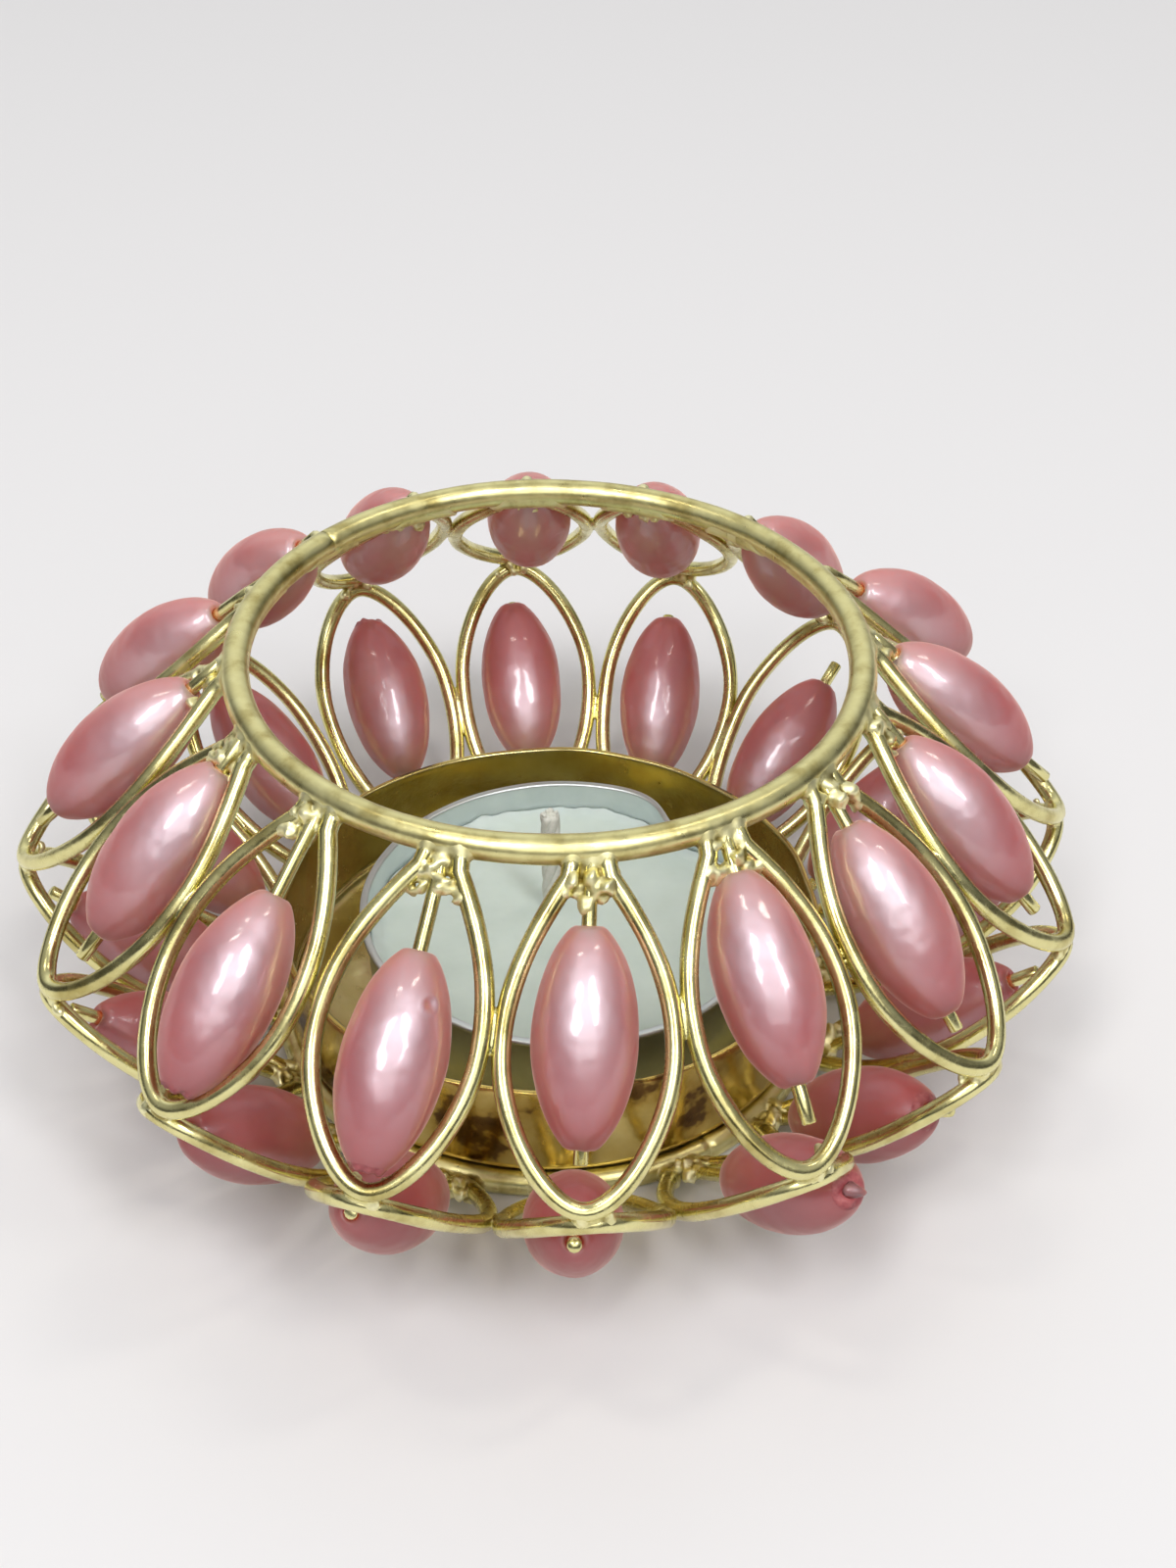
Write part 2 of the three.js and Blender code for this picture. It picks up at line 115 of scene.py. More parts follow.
# Heights that its foot and edge take from its wall, their fillets, its edge's flare, and rings in its floor
PAN_FOOT_ROOM, PAN_EDGE_ROOM, PAN_FLARE, PAN_RINGS = 1.2, 0.8, 0.02, (0, 8, 16, 21)
PAN_FOOT_FILLET, PAN_INNER_FILLET, PAN_EDGE_FILLET = 1.0, 0.9, 0.25
CANDLE = (1.4, -1.4, 3.0)
CUP_LIP_RADIUS, CUP_HEIGHT, CUP_LIP, CUP_TAPER, CUP_SHEET = 18.9, 10.6, 0.5, 0.5, 0.25
# Heights that its foot and lip take from its wall, and a ring in its floor
CUP_FOOT_ROOM, CUP_LIP_ROOM, CUP_RING = 0.8, 0.9, 9
# Dent in the foil: place round the cup and half width in degrees, depth
DENT_PLACE, DENT_WIDTH, DENT_DEPTH = 43.0, 11.5, 3.0
WAX_FLOOR, WAX_HEIGHT, WAX_GAP, WAX_TAPER, WAX_EDGE = 0.3, 7.7, 0.06, 0.38, 17.9
# Climb of the wax at the cup, its climb at the wick and the dip between, each as height and width
WAX_CLIMB, WAX_CLIMB_WIDTH, WICK_CLIMB, WICK_CLIMB_WIDTH, WAX_DIP, WAX_DIP_WIDTH = 0.4, 0.8, 0.5, 1.9, 0.25, 7
# Where the wax starts to follow the cup's dent, and over what width
DENT_START, DENT_FADE = 14, 3
WICK_PLACE, WICK_FOOT, WICK_TOP = (-1.0, 3.3), 3.0, 19.0
STRANDS, STRAND_RADIUS, STRAND_OFFSET, STRAND_PITCH = 5, 0.48, 0.44, 11
WICK_BEND, BEND_START, BEND_LENGTH = 0.25, 9, 10
FRAYS, FRAY_RADIUS, FRAY_START, FRAY_RISE = 14, 0.17, 1.3, 0.6
# Where the rings are closed, half the gap there, and the fill's reach each way in half gaps
RIM_SEAM, BASE_SEAM, SEAM_GAP, SEAM_FILL = math.radians(135), math.radians(300), 0.12, 2.2
MM = 0.001
# The fitted camera: focal length and height of the photograph in pixels, the film height, and its place
FOCAL, PHOTO_HEIGHT, FILM, CAMERA_PLACE = 2499.12, 1600, 36, (-13.768, -174.14, 158.158)


# Mesh helpers
def joined(shells):
    """One list of points and faces from several, with a material number for each face."""
    points, faces, numbers, start = [], [], [], 0
    for shell_points, shell_faces, number in shells:
        points.append(np.asarray(shell_points, float))
        faces += [tuple(i + start for i in face) for face in shell_faces]
        numbers += number if isinstance(number, list) else [number] * len(shell_faces)
        start += len(shell_points)
    return np.concatenate(points), faces, numbers


def piece(name, shells, materials, body, nodes=(), outer=None):
    """One named mesh on its body and the CAD nodes that it replaces."""
    points, faces, numbers = joined(shells)
    mesh = bpy.data.meshes.new(name)
    mesh.from_pydata((points * MM).tolist(), [], faces)
    mesh.polygons.foreach_set("use_smooth", [True] * len(faces))
    for finish in materials:
        mesh.materials.append(finish)
    mesh.polygons.foreach_set("material_index", numbers)
    if outer is not None:
        mesh.attributes.new("outer", "FLOAT", "POINT").data.foreach_set("value", outer)
    mesh.update()
    obj = bpy.data.objects.new(name, mesh)
    bpy.context.scene.collection.objects.link(obj)
    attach(obj, body)
    if nodes:
        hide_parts(*nodes)


def waves(points, seed, size, count=14):
    """Smooth uneven values about zero, with swells of about the given size."""
    random = np.random.default_rng(seed)
    directions = random.normal(size=(count, 3))
    pace = 2 * math.pi / size * random.uniform(0.6, 1.4, count)
    directions *= (pace / np.linalg.norm(directions, axis=1))[:, None]
    phases = random.uniform(0, 2 * math.pi, count)
    return np.sin(np.asarray(points) @ directions.T + phases).sum(axis=1) / math.sqrt(count)


def bell(away, width):
    """Smooth hump: 1 in the middle, falling off over the given width."""
    return np.exp(-(away / width) ** 2)


def sweep(path, radius, sides, cap=0.18):
    """Round wire along a path, its ends cut square with a small chamfer."""
    path = np.asarray(path, float)
    radius = np.broadcast_to(np.asarray(radius, float), len(path)).copy()
    first = (path[1] - path[0]) / np.linalg.norm(path[1] - path[0])
    last = (path[-1] - path[-2]) / np.linalg.norm(path[-1] - path[-2])
    path = np.vstack([path[0] - first * cap, path, path[-1] + last * cap])
    radius = np.concatenate([[radius[0] - cap], radius, [radius[-1] - cap]])
    tangents = np.gradient(path, axis=0)
    tangents /= np.linalg.norm(tangents, axis=1)[:, None]
    side = np.cross(tangents[0], [0.31, 0.17, 0.93])
    side /= np.linalg.norm(side)
    sides_along = [side]
    for tangent in tangents[1:]:
        side = side - tangent * (side @ tangent)
        side /= np.linalg.norm(side)
        sides_along.append(side)
    sides_along = np.array(sides_along)
    ups = np.cross(tangents, sides_along)
    angles = np.linspace(0, 2 * math.pi, sides, endpoint=False)[None, :, None]
    rings = path[:, None] + radius[:, None, None] * (
        np.cos(angles) * sides_along[:, None] + np.sin(angles) * ups[:, None])
    faces = []
    for low in range(0, (len(path) - 1) * sides, sides):
        high = low + sides
        for j in range(sides):
            k = (j + 1) % sides
            faces.append((low + j, low + k, high + k, high + j))
    faces.append(tuple(reversed(range(sides))))
    faces.append(tuple((len(path) - 1) * sides + i for i in range(sides)))
    return rings.reshape(-1, 3), faces


def lathe(profile, steps):
    """Body turned about Z from a closed profile; points on the axis become poles."""
    points, faces, rows = [], [], []
    for radius, height in profile:
        if radius < 1e-6:
            rows.append([len(points)] * steps)
            points.append((0, 0, height))
        else:
            rows.append(list(range(len(points), len(points) + steps)))
            turns = np.linspace(0, 2 * math.pi, steps, endpoint=False)
            points += [(radius * math.cos(a), radius * math.sin(a), height) for a in turns]
    pairs = list(zip(rows[:-1], rows[1:]))
    if profile[0][0] > 1e-6:
        pairs.append((rows[-1], rows[0]))
    for low, high in pairs:
        for j in range(steps):
            k = (j + 1) % steps
            face = dict.fromkeys((low[j], low[k], high[k], high[j]))
            if len(face) > 2:
                faces.append(tuple(face))
    return np.array(points), faces


def from_axis(points):
    """Directions straight away from the Z axis, zero on it."""
    return points[:, :2] / np.maximum(np.linalg.norm(points[:, :2], axis=1), 1e-6)[:, None]


def rounded(corners, steps=4):
    """Profile with its marked corners rounded: each corner is (radius, height, fillet)."""
    result = []
    for i, (x, y, fillet) in enumerate(corners):
        here = np.array([x, y])
        if not fillet:
            result.append((x, y))
            continue
        before = np.array(corners[i - 1][:2])
        after = np.array(corners[(i + 1) % len(corners)][:2])
        start = here + (before - here) / np.linalg.norm(before - here) * fillet
        end = here + (after - here) / np.linalg.norm(after - here) * fillet
        for t in np.linspace(0, 1, steps):
            result.append(tuple((1 - t) ** 2 * start + 2 * t * (1 - t) * here + t * t * end))
    return result


def net(field, origin, step):
    """Closed quads on the zero level of a field sampled on a grid, negative inside."""
    shape = np.array(field.shape) - 1
    total, count = np.zeros((*shape, 3)), np.zeros(shape)
    base = np.stack(np.meshgrid(*[np.arange(n) for n in shape], indexing="ij"), axis=-1).astype(float)

    def corner(offset):
        return field[tuple(slice(o, o + n) for o, n in zip(offset, shape))]

    for axis in range(3):
        for a in (0, 1):
            for b in (0, 1):
                start = [a, b]
                start.insert(axis, 0)
                stop = list(start)
                stop[axis] = 1
                low, high = corner(start), corner(stop)
                crossing = (low < 0) != (high < 0)
                share = np.where(crossing, low / np.where(crossing, low - high, 1), 0)
                place = base + np.array(start)
                place[..., axis] += share
                total += place * crossing[..., None]
                count += crossing
    active = count > 0
    index = np.full(shape, -1)
    index[active] = np.arange(active.sum())
    points = total[active] / count[active][:, None] * step + origin
    faces = []
    inside = field < 0
    for axis in range(3):
        b, c = [i for i in range(3) if i != axis]
        low = np.take(inside, range(inside.shape[axis] - 1), axis)
        high = np.take(inside, range(1, inside.shape[axis]), axis)
        cells = np.argwhere(low != high)
        kept = np.minimum(cells[:, b], cells[:, c]) > 0
        kept &= (cells[:, b] < shape[b]) & (cells[:, c] < shape[c])
        cells = cells[kept]
        ring = []
        for db, dc in ((-1, -1), (0, -1), (0, 0), (-1, 0)):
            at = cells.copy()
            at[:, b] += db
            at[:, c] += dc
            ring.append(index[tuple(at.T)])
        ring = np.stack(ring, axis=1)
        outward = low[tuple(cells.T)] == (axis != 1)
        faces += np.where(outward[:, None], ring, ring[:, ::-1]).tolist()
    return points, faces


def softer(a, b, blend):
    """Smooth union of two distance fields."""
    share = np.clip(0.5 + 0.5 * (b - a) / blend, 0, 1)
    return b + (a - b) * share - blend * share * (1 - share)


def wire_field(points, path, radius):
    """Distances from the surface of a wire along a path."""
    nearest = np.full(len(points), 1e9)
    for a, b in zip(path[:-1], path[1:]):
        run = b - a
        share = np.clip((points - a) @ run / (run @ run), 0, 1)
        nearest = np.minimum(nearest, np.linalg.norm(points - a - share[:, None] * run, axis=1))
    return nearest - radius


def ring_field(points, radius, height, wire):
    """Distances from the surface of a ring of wire."""
    return np.hypot(np.hypot(points[:, 0], points[:, 1]) - radius, points[:, 2] - height) - wire / 2


def near(path, middle, reach):
    """The stretch of a path that lies around a place."""
    close = np.linalg.norm(path - middle, axis=1) < reach
    return path[close]


def braze(wires, middle, reach, lumps, blend, grain, seed):
    """Shell of brazing metal: fillets between wires and drops of metal, inside an ellipsoid.
    Each wire is a field of distances; away from the drops the shell stays just under the wires."""
    reach = np.asarray(reach, float)
    low, high = middle - reach - 2 * BRAZE_STEP, middle + reach + 2 * BRAZE_STEP
    axes = [np.arange(a, b, BRAZE_STEP) for a, b in zip(low, high)]
    grid = np.stack(np.meshgrid(*axes, indexing="ij"), axis=-1)
    points = grid.reshape(-1, 3)
    away = np.linalg.norm((points - middle) / reach, axis=1)
    fillet = blend * np.clip(1.15 - away ** 2, 0.02, 1)
    field = None
    for wire in wires:
        distance = wire(points)
        field = distance if field is None else softer(field, distance, fillet)
    field = field + BRAZE_SINK
    bumps = waves(points, seed, LUMP_SIZE) * grain
    for place, size in lumps:
        drop = np.linalg.norm(points - place, axis=1) - size + bumps
        field = softer(field, drop, DROP_BLEND)
    field = np.maximum(field, (away - 1) * reach.min())
    field = np.maximum(field, BRAZE_LIFT - points[:, 2])
    return net(field.reshape(grid.shape[:3]), low, BRAZE_STEP)


def turned(points, index):
    """Points of a petal shaped along +X, turned to its own sector."""
    angle = index * SECTOR - math.pi / 2
    c, s = math.cos(angle), math.sin(angle)
    return np.asarray(points) @ np.array([[c, s, 0], [-s, c, 0], [0, 0, 1]])


# Petals, shaped along +X: u runs from ring to tip, w across
class Plan:
    """Lie and outline of one tier's petals, as wide as lets neighbours touch."""

    def __init__(self, joint, tip, widest, outward, bow):
        self.bow = bow
        self.joint = np.array([joint[0], 0, joint[1]])
        run = np.array([tip[0], 0, tip[1]]) - self.joint
        self.length = np.linalg.norm(run)
        self.along = run / self.length
        self.normal = outward * np.array([-self.along[2], 0, self.along[0]])
        self.widest = widest * self.length
        touch = joint[0] + self.along[0] * self.widest * TOUCH_SHARE + self.normal[0] * bow
        room = touch * math.sin(SECTOR / 2) - PETAL_WIRE / 2
        self.half = room / math.cos(SECTOR / 2) + TOUCH_OVERLAP

    def at(self, u, w):
        return self.joint + np.outer(u, self.along) + np.outer(w, [0, 1, 0])

    def loop(self, sway, seed):
        """Path of the wire from one leg round the tip to the other, swayed sideways and a little uneven."""
        leg, tip = LEG_REACH * self.widest, TIP_REACH * (self.length - self.widest)
        half = [(LEG_START, LEG_SPREAD), (leg, LEG_SPREAD + LEG_SLOPE * leg),
                (self.widest * SHOULDER_PLACE, self.half), (self.widest, self.half),
                (self.widest + tip, self.half), (self.length, self.half * TIP_BLUNTNESS), (self.length, 0)]
        side = np.vstack([LEG_ROOTS, bezier(half[:4], 20), bezier(half[3:], 20)[1:]])
        line = np.vstack([side, side[::-1][1:] * [1, -1]])
        share = np.clip(line[:, 0] / self.length, 0, 1)
        shift = sway[0] * (1 - share) ** 2 + sway[1] * np.sin(math.pi * share) + sway[2] * share ** 2.5
        path = self.at(line[:, 0], line[:, 1] + shift)
        out = 4 * self.bow * share * (1 - share)
        out += PETAL_WAVER * np.sin(math.pi * share) * waves(path, seed, 16)
        return path + np.outer(out, self.normal)

    def direction(self, turn, lean):
        """Heading of a pin: along the petal, turned sideways and leaning out of its plane."""
        turn, lean = math.radians(turn), math.radians(lean)
        flat = self.along * math.cos(turn) + np.array([0, math.sin(turn), 0])
        return flat * math.cos(lean) + self.normal * math.sin(lean)


def bezier(points, steps):
    a, b, c, d = (np.array(p, float) for p in points)
    t = np.linspace(0, 1, steps)[:, None]
    return (1 - t) ** 3 * a + 3 * t * (1 - t) ** 2 * b + 3 * t * t * (1 - t) * c + t ** 3 * d


UPPER = Plan(UPPER_JOINT, UPPER_TIP, UPPER_WIDEST, 1, 0)
LOWER = Plan(LOWER_JOINT, LOWER_TIP, LOWER_WIDEST, -1, LOWER_BOW)


def foot(tier, index):
    """Where a pin is brazed on: upper pins sit higher on the rim wire towards the back."""
    if tier == "lower":
        return LOWER.joint + np.array([0, LOWER_PINS[index][3], 0])
    angle = math.radians(PIN_ANGLE + PIN_RISE * (1 - math.cos(index * SECTOR)) / 2)
    reach = RIM_WIRE / 2 + PIN_STANDOFF
    radius, height = RIM_RADIUS + reach * math.cos(angle), RIM_HEIGHT + reach * math.sin(angle)
    return np.array([radius, UPPER_PINS[index][3], height])


def loop_seed(tier, index):
    """Seed of a petal's unevenness, the same for the petal and for its touches."""
    return LOOP_SEED + 10 * index + (tier == "lower")


# Finishes, from node helpers that take a material or the world
def settle(node, **sockets):
    """Constants on a node's sockets, named with _ for a space."""
    for socket, value in sockets.items():
        node.inputs[socket.replace("_", " ")].default_value = value


def finish(name, **sockets):
    made = bpy.data.materials.new(name)
    made.use_nodes = True
    shader = made.node_tree.nodes["Principled BSDF"]
    settle(shader, **sockets)
    return made, shader


def grain_node(made, scale, detail, rough=0.55):
    """Noise in the piece's own coordinates."""
    nodes, links = made.node_tree.nodes, made.node_tree.links
    noise = nodes.new("ShaderNodeTexNoise")
    settle(noise, Scale=scale, Detail=detail, Roughness=rough)
    links.new(nodes.new("ShaderNodeTexCoord").outputs["Object"], noise.inputs["Vector"])
    return noise.outputs["Fac"]


def combined(made, operation, *sources):
    """Math node on its sources in order; a plain number is set on its socket."""
    node = made.node_tree.nodes.new("ShaderNodeMath")
    node.operation = operation
    for socket, source in zip(node.inputs, sources):
        if isinstance(source, float):
            socket.default_value = source
        else:
            made.node_tree.links.new(source, socket)
    return node.outputs["Value"]


def spanned(made, source, start, full, low, high, kind="LINEAR"):
    """Source mapped so that start gives low and full gives high."""
    span = made.node_tree.nodes.new("ShaderNodeMapRange")
    span.interpolation_type = kind
    settle(span, From_Min=start, From_Max=full, To_Min=low, To_Max=high)
    made.node_tree.links.new(source, span.inputs["Value"])
    return span.outputs["Result"]


def ramped(made, source, stops):
    """Colours by source; the first two stops are the ends, the rest lie between."""
    nodes, links = made.node_tree.nodes, made.node_tree.links
    ramp = nodes.new("ShaderNodeValToRGB")
    for i, (place, colour) in enumerate(stops):
        stop = ramp.color_ramp.elements[i] if i < 2 else ramp.color_ramp.elements.new(place)
        stop.position = place
        stop.color = (*colour, 1)
    links.new(source, ramp.inputs["Fac"])
    return ramp.outputs["Color"]


def coloured(made, shader, source, stops):
    made.node_tree.links.new(ramped(made, source, stops), shader.inputs["Base Color"])


def roughened(made, shader, source, low, high):
    made.node_tree.links.new(spanned(made, source, 0.3, 0.7, low, high), shader.inputs["Roughness"])


def bumped(made, shader, sources, sockets=("Normal",)):
    """Chain of bumps; each source is (value, strength, depth in metres)."""
    nodes, links = made.node_tree.nodes, made.node_tree.links
    normal = None
    for value, strength, depth in sources:
        bump = nodes.new("ShaderNodeBump")
        settle(bump, Strength=strength, Distance=depth)
        links.new(value, bump.inputs["Height"])
        if normal:
            links.new(normal, bump.inputs["Normal"])
        normal = bump.outputs["Normal"]
    for socket in sockets:
        links.new(normal, shader.inputs[socket])


def gold(name, dark, mid, pale, rough, lumpy, patch, soiled=(), pointiness_shade=0.0):
    """Gilt metal: uneven tone, more stops for stains, and painted shade that darkens the hollows between
    lumps, with painted light on their crests.
    """
    made, shader = finish(name, Metallic=1.0)
    tone = grain_node(made, patch, 4)
    # Painted shade and light by pointiness: darker in the hollows between lumps, paler on their crests
    if pointiness_shade:
        pointed = made.node_tree.nodes.new("ShaderNodeNewGeometry").outputs["Pointiness"]
        tone = combined(made, "ADD", tone, spanned(made, pointed, 0.4, 0.6, -pointiness_shade, pointiness_shade))
    coloured(made, shader, tone, [(0.3, dark), (0.72, pale), (0.5, mid), *soiled])
    roughened(made, shader, grain_node(made, 700, 3), *rough)
    lumps, scratches = grain_node(made, 330, 1, 0.5), grain_node(made, 1700, 1)
    bumped(made, shader, [(lumps, lumpy, 0.00025), (scratches, 0.1, 0.0001)])
    return made


GILT = (0.50, 0.42, 0.15), (0.77, 0.71, 0.33), (0.87, 0.82, 0.41)
SOLDER = (0.36, 0.29, 0.09), (0.84, 0.78, 0.39), (0.93, 0.89, 0.53)
OLIVE = (0.48, 0.36, 0.12), (0.62, 0.53, 0.22), (0.76, 0.68, 0.34)
AMBER = (0.10, 0.05, 0.015), (0.70, 0.53, 0.16), (0.84, 0.70, 0.29)
STAINS = [(0.38, (0.18, 0.10, 0.03)), (0.42, (0.58, 0.40, 0.10))]
WIRE = gold("gold_wire", *GILT, (0.18, 0.32), 0.2, 260)
RIM = gold("gold_rim", *GILT, (0.26, 0.42), 0.4, 380)
# Brazing takes painted shade in its hollows and painted light on its crests
BRAZING = gold("brazing", *SOLDER, (0.38, 0.52), 0.3, 400, pointiness_shade=0.6)
SHEET = gold("gold_sheet", *OLIVE, (0.16, 0.28), 0.12, 130)
STAINED = gold("stained_sheet", *AMBER, (0.16, 0.28), 0.12, 150, STAINS)


def pearl():
    """Translucent salmon body under a lilac lustre that fades at the edges; painted shade deepens the body
    and thins the lustre towards the outer end.
    """
    made, body = finish(
        "pearl", Roughness=0.45, Specular_IOR_Level=0.15,
        Subsurface_Weight=1.0, Subsurface_Radius=(1.0, 0.36, 0.28), Subsurface_Scale=0.010,
        Sheen_Weight=0.9, Sheen_Roughness=0.32, Sheen_Tint=(1.0, 0.68, 0.62, 1),
        Coat_Weight=0.2, Coat_Roughness=0.12)
    nodes, links = made.node_tree.nodes, made.node_tree.links
    lustre = nodes.new("ShaderNodeBsdfPrincipled")
    settle(lustre, Metallic=1.0, Roughness=0.5, Coat_Weight=1.0, Coat_Roughness=0.12, Coat_IOR=2.0)
    attribute = nodes.new("ShaderNodeAttribute")
    attribute.attribute_name = "outer"
    outer = attribute.outputs["Fac"]
    # Painted shade: the body's colour deepens along 'outer', laid over random tone from the noise
    depth = combined(made, "MULTIPLY_ADD", outer, 0.6, grain_node(made, 95, 3))
    coloured(made, body, depth, [(0.4, (0.64, 0.225, 0.20)), (1.0, (0.47, 0.092, 0.09))])
    coloured(made, lustre, grain_node(made, 130, 3), [(0.3, (0.74, 0.67, 0.74)), (0.7, (0.84, 0.78, 0.84))])
    ripple = [(grain_node(made, 230, 2), 0.5, 0.0006), (grain_node(made, 5200, 2), 0.03, 0.0001)]
    for layer in (body, lustre):
        bumped(made, layer, ripple, ("Normal", "Coat Normal"))
    facing = nodes.new("ShaderNodeLayerWeight")
    settle(facing, Blend=0.5)
    faced = spanned(made, facing.outputs["Facing"], 0.0, 0.85, 0.66, 0.0)
    # Lustre along 'outer': less at the very inner end, and thinning towards the outer end as painted shade
    shares = ((0.0, 0.6), (1.0, 0.18), (0.2, 1.0), (0.4, 1.0))
    lustre_along = [(place, (share,) * 3) for place, share in shares]
    mix = nodes.new("ShaderNodeMixShader")
    links.new(combined(made, "MULTIPLY", faced, ramped(made, outer, lustre_along)), mix.inputs["Fac"])
    links.new(body.outputs["BSDF"], mix.inputs[1])
    links.new(lustre.outputs["BSDF"], mix.inputs[2])
    links.new(mix.outputs["Shader"], nodes["Material Output"].inputs["Surface"])
    return made


PEARL = pearl()

TORN, torn_shader = finish("torn_bead_end", Roughness=0.5)
coloured(TORN, torn_shader, grain_node(TORN, 1500, 3), [(0.3, (0.34, 0.06, 0.07)), (0.7, (0.52, 0.15, 0.15))])
bumped(TORN, torn_shader, [(grain_node(TORN, 2400, 3), 0.5, 0.0003)])

FOIL, foil_shader = finish("foil", Metallic=1.0)
coloured(FOIL, foil_shader, grain_node(FOIL, 320, 3), [(0.3, (0.64, 0.69, 0.69)), (0.7, (0.72, 0.76, 0.76))])
roughened(FOIL, foil_shader, grain_node(FOIL, 900, 2), 0.34, 0.46)
bumped(FOIL, foil_shader, [(grain_node(FOIL, 160, 2), 0.10, 0.0005)])

WAX, wax_shader = finish(
    "wax", Roughness=0.42,
    Subsurface_Weight=0.5, Subsurface_Radius=(1.0, 0.95, 0.8), Subsurface_Scale=0.003)
coloured(WAX, wax_shader, grain_node(WAX, 180, 4), [(0.3, (0.60, 0.70, 0.63)), (0.7, (0.68, 0.78, 0.71))])
bumped(WAX, wax_shader, [(grain_node(WAX, 260, 4), 0.25, 0.0003)])

COTTON, cotton_shader = finish("cotton", Roughness=0.85)
cotton_tone = grain_node(COTTON, 1500, 3)
coloured(COTTON, cotton_shader, cotton_tone, [(0.3, (0.62, 0.63, 0.55)), (0.7, (0.73, 0.74, 0.66))])
bumped(COTTON, cotton_shader, [(grain_node(COTTON, 4200, 2), 0.5, 0.0001)])


# Rings
def ring_piece(name, radius, height, wire, seed, seam, back_rise):
    """Hand-closed ring of thick wire: the two ends meet at a seam filled with a little brazing metal."""
    def lifted(angle):
        return height + back_rise * ((1 + np.sin(angle)) / 2) ** 1.5

    gap = SEAM_GAP / radius
    angles = np.linspace(seam + gap, seam + 2 * math.pi - gap, RING_STEPS)
    around = np.column_stack([np.cos(angles), np.sin(angles), np.zeros_like(angles)])
    uneven = waves(around * radius, seed, 22)
    swell = waves(around * radius, seed + 1, 7)
    path = around * (radius + RING_WAVER * uneven[:, None])
    path[:, 2] = lifted(angles)
    tube = sweep(path, wire / 2 * (1 + RING_SWELL * swell), RING_SIDES, 0.14)
    fill_angles = np.linspace(seam - SEAM_FILL * gap, seam + SEAM_FILL * gap, 5)
    fill_path = [(radius * math.cos(a), radius * math.sin(a), lifted(seam)) for a in fill_angles]
    fill = sweep(fill_path, wire / 2 - 0.16, RING_SIDES)
    piece(name, [(*tube, 0), (*fill, 1)], [RIM, BRAZING], "holder", [name])


ring_piece("rim_ring", RIM_RADIUS, RIM_HEIGHT, RIM_WIRE, RIM_SEED, RIM_SEAM, RIM_BACK_RISE)
ring_piece("base_ring", BASE_RADIUS, BASE_HEIGHT, BASE_WIRE, BASE_SEED, BASE_SEAM, 0)


# Petal pairs with pins and brazing
def joint_drops(random, plan, start):
    """Drops of metal strewn over a joint, wider apart away from the ring, as (place, size)."""
    found = []
    for _ in range(JOINT_DROPS):
        u, w = random.uniform(-0.3, 2.7), random.uniform(-2.2, 2.2)
        flat = start + plan.along * u + np.array([0, w * (0.75 + 0.12 * u), 0])
        found.append((flat + plan.normal * random.uniform(-0.7, 0.6), random.uniform(0.35, 0.78)))
    return found


def petal_piece(index):
    """Upper and lower petal of a sector with their pins and the brazing at both rings and at the tips."""
    random = np.random.default_rng(PETAL_SEED + index)
    shells, loops = [], []
    for tier, plan, ring, pins, sways in (
            ("upper", UPPER, (RIM_RADIUS, RIM_HEIGHT, RIM_WIRE), UPPER_PINS, UPPER_SWAYS),
            ("lower", LOWER, (BASE_RADIUS, BASE_HEIGHT, BASE_WIRE), LOWER_PINS, LOWER_SWAYS)):
        seed = loop_seed(tier, index)
        sway = sways.get(index, NO_SWAY)
        loop = plan.loop(sway, seed)
        loops.append(loop)
        swell = 1 + PETAL_SWELL * waves(loop, seed + 1, 6)
        shells.append((*sweep(loop, PETAL_WIRE / 2 * swell, PETAL_SIDES), 0))
        _, turn, lean, shift = pins[index]
        start = foot(tier, index)
        pin_end = plan.length - PETAL_WIRE / 2 - PIN_TIP_GAP + random.uniform(-0.25, 0.25)
        pin = start + np.outer(np.linspace(-0.6, pin_end, 12), plan.direction(turn, lean))
        shells.append((*sweep(pin, PIN_RADIUS, PIN_SIDES, 0.12), 0))
        middle = plan.joint + np.array([0, (sway[0] + shift) / 2, 0])
        wires = [
            lambda p, r=ring: ring_field(p, *r),
            lambda p, path=near(loop[:LEG_POINTS], middle, JOINT_LOOK): wire_field(p, path, PETAL_WIRE / 2),
            lambda p, path=near(loop[-LEG_POINTS:], middle, JOINT_LOOK): wire_field(p, path, PETAL_WIRE / 2),
            lambda p, path=pin[:FOOT_POINTS]: wire_field(p, path, PIN_RADIUS)]
        lumps = joint_drops(random, plan, middle)
        joint = braze(wires, middle, JOINT_REACH, lumps, JOINT_FILLET, JOINT_GRAIN, seed + 2)
        shells.append((*joint, 1))
    ends = [loop[len(loop) // 2] for loop in loops]
    tip = (ends[0] + ends[1]) / 2
    wires = [lambda p, path=near(loop, tip, TIP_LOOK): wire_field(p, path, PETAL_WIRE / 2) for loop in loops]
    lumps = [(tip + random.uniform((-1.5, -2.0, -0.7), (0.2, 2.0, 0.7)), random.uniform(0.25, 0.55))
             for _ in range(TIP_DROPS)]
    lump = braze(wires, tip, TIP_LUMP_REACH, lumps, TIP_FILLET, TIP_GRAIN, TIP_SEED + index)
    shells.append((*lump, 1))
    shells = [(turned(shell, index), *rest) for shell, *rest in shells]
    node = f"petal_pair_{index + 1:02d}"
    piece(node, shells, [WIRE, BRAZING], "holder", [node])


